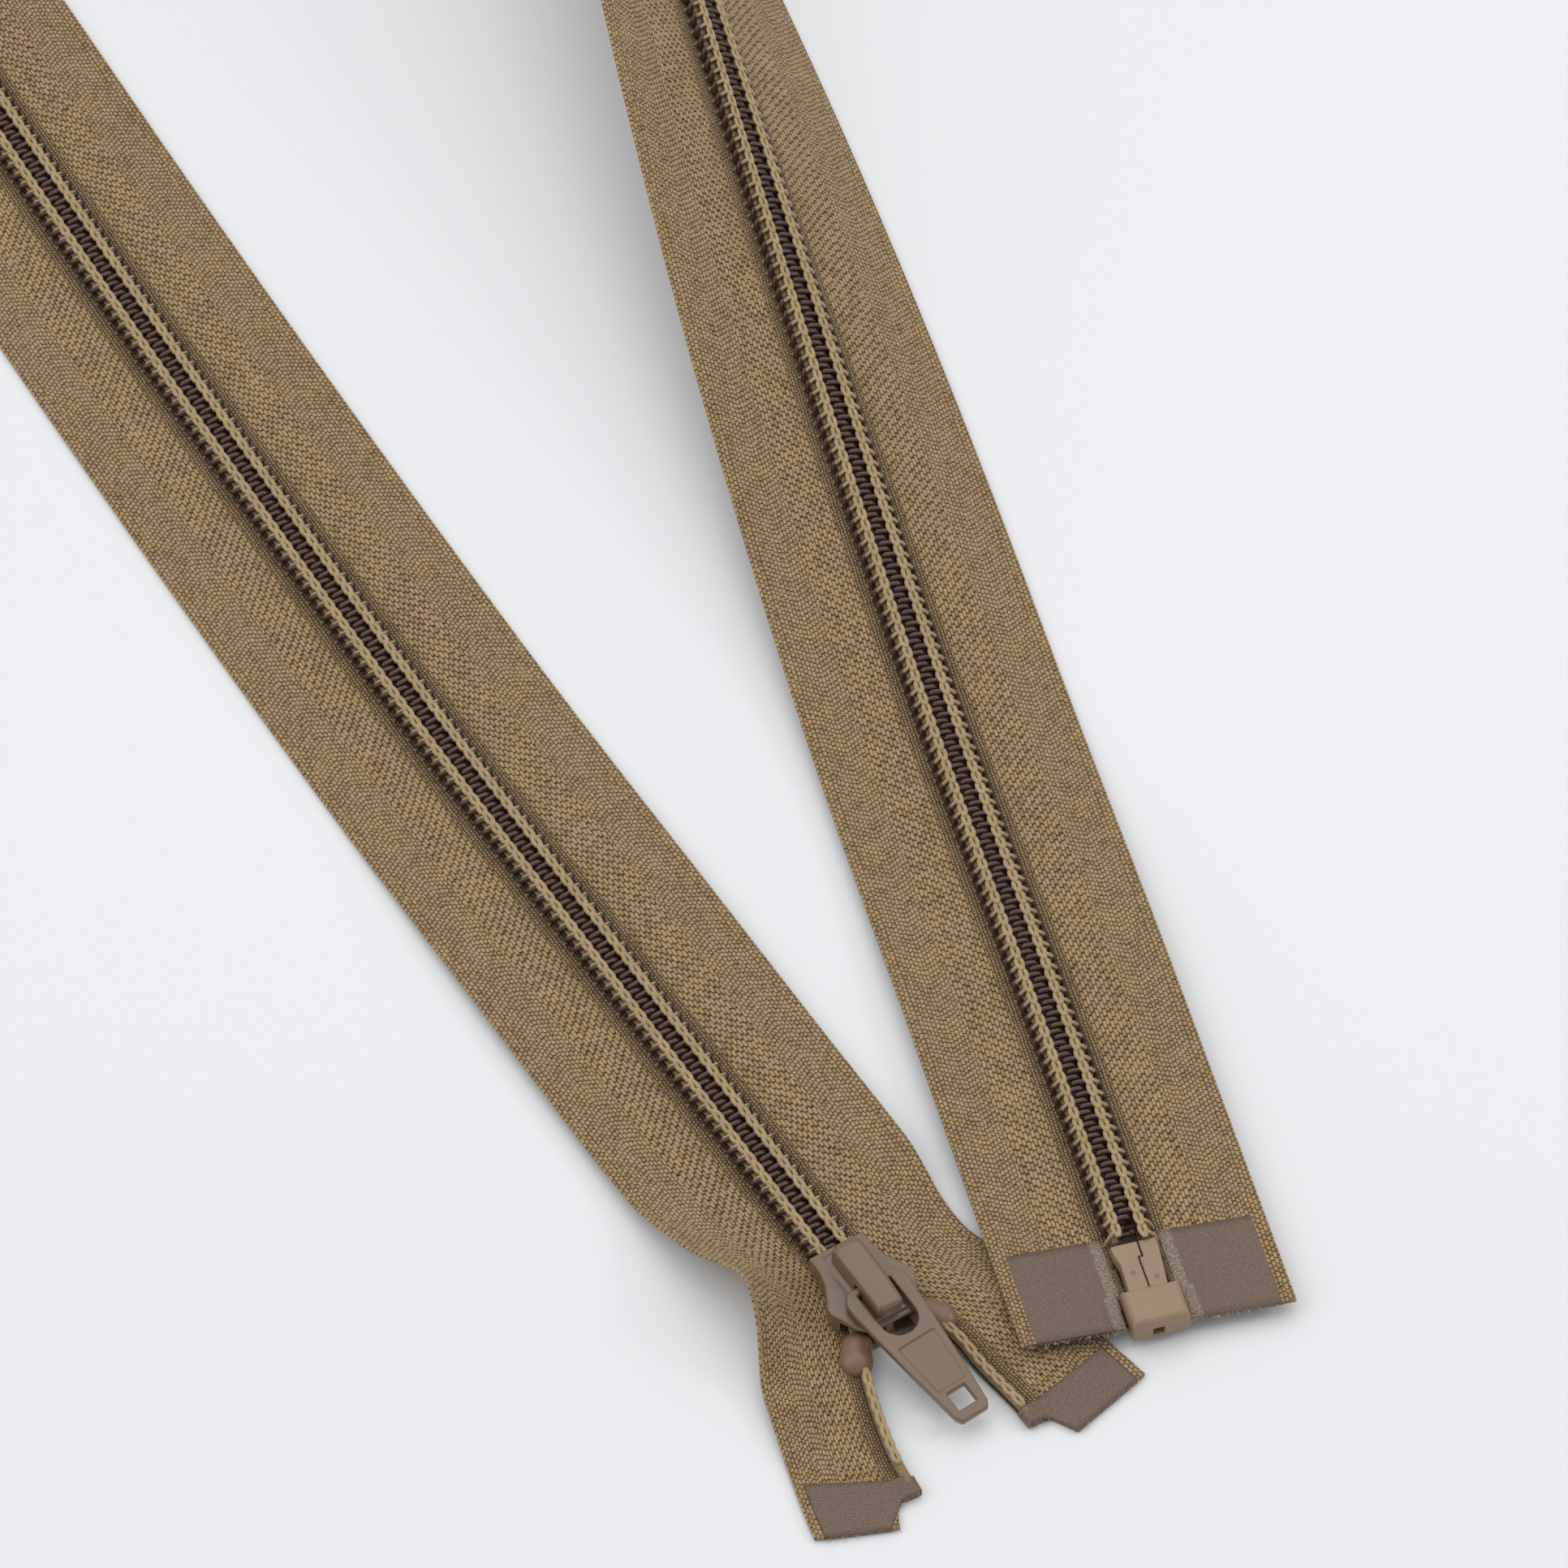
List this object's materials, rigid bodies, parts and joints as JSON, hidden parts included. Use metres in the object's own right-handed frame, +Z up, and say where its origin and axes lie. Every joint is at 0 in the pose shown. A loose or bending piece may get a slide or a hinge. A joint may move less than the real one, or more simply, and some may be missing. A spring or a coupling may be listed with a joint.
{
  "type": "separating zipper",
  "caption": "Nylon coil separating zipper, closed, with locking slider and pull tab, woven tapes, retainer box and insertion pin; both ends lie flat and the chain between stands in a loop.",
  "frame": {"origin": "middle of the footprint, on the surface that the zipper lies on", "axes": "+Z up, +Y from the slider and retainer box towards the far end of the loop"},
  "size_m": [0.2044, 0.3562, 0.031],
  "materials": {
    "tape": "woven polyester",
    "coil": "glossy nylon",
    "cord": "twisted cord",
    "thread": "lustrous thread",
    "film": "matte taffeta film",
    "moulding": "satin moulded",
    "slider_paint": "satin baked paint",
    "spring": "bare spring steel"
  },
  "bodies": {
    "chain": {"left_tape": "tape", "right_tape": "tape", "left_coil": "coil", "right_coil": "coil", "left_filler_cord": "cord", "right_filler_cord": "cord", "left_stitching": "thread", "right_stitching": "thread", "retainer_box": "moulding", "box_pin": "moulding", "insertion_pin": "moulding", "left_bottom_film": "film", "right_bottom_film": "film"},
    "slider": {"slider_body": "slider_paint", "slider_crown": "slider_paint"},
    "lock": {"lock_spring": "spring"},
    "pull": {"pull_tab": "slider_paint"},
    "left_top": {"left_tape_top": "tape", "left_coil_top": "coil", "left_filler_cord_top": "cord", "left_stitching_top": "thread", "left_top_stop": "moulding", "left_top_film": "film"},
    "right_top": {"right_tape_top": "tape", "right_coil_top": "coil", "right_filler_cord_top": "cord", "right_stitching_top": "thread", "right_top_stop": "moulding", "right_top_film": "film"}
  },
  "joints": [
    {"name": "slider_slide", "type": "slide", "parent": "chain", "child": "slider", "axis": [-0.5321, 0.8467, 0], "range_m": [0, 0.03]},
    {"name": "left_top_spread", "type": "hinge", "parent": "chain", "child": "left_top", "pos_m": [0.03749, -0.11951, 0], "axis": [0, 0, 1], "range_deg": [0, 8], "deforming": ["left_tape_top", "left_coil_top", "left_filler_cord_top", "left_stitching_top"]},
    {"name": "right_top_spread", "type": "hinge", "parent": "chain", "child": "right_top", "pos_m": [0.03749, -0.11951, 0], "axis": [0, 0, -1], "range_deg": [0, 8], "deforming": ["right_tape_top", "right_coil_top", "right_filler_cord_top", "right_stitching_top"]},
    {"name": "pull_swing", "type": "hinge", "parent": "slider", "child": "pull", "pos_m": [0.05521, -0.1477, 0.0054], "axis": [-0.8023, -0.5969, 0], "range_deg": [0, 190]},
    {"name": "lock_lift", "type": "hinge", "parent": "slider", "child": "lock", "pos_m": [0.05697, -0.15049, 0.0061], "axis": [0.8467, 0.5321, 0], "range_deg": [0, 3.5], "stiffness_Nm_per_rad": 0.02, "springref_deg": -1.72}
  ],
  "couplings": [
    {"joint": "left_top_spread", "follows": "slider_slide", "rad_per_m": 4.6537},
    {"joint": "right_top_spread", "follows": "slider_slide", "rad_per_m": 4.6537}
  ]
}
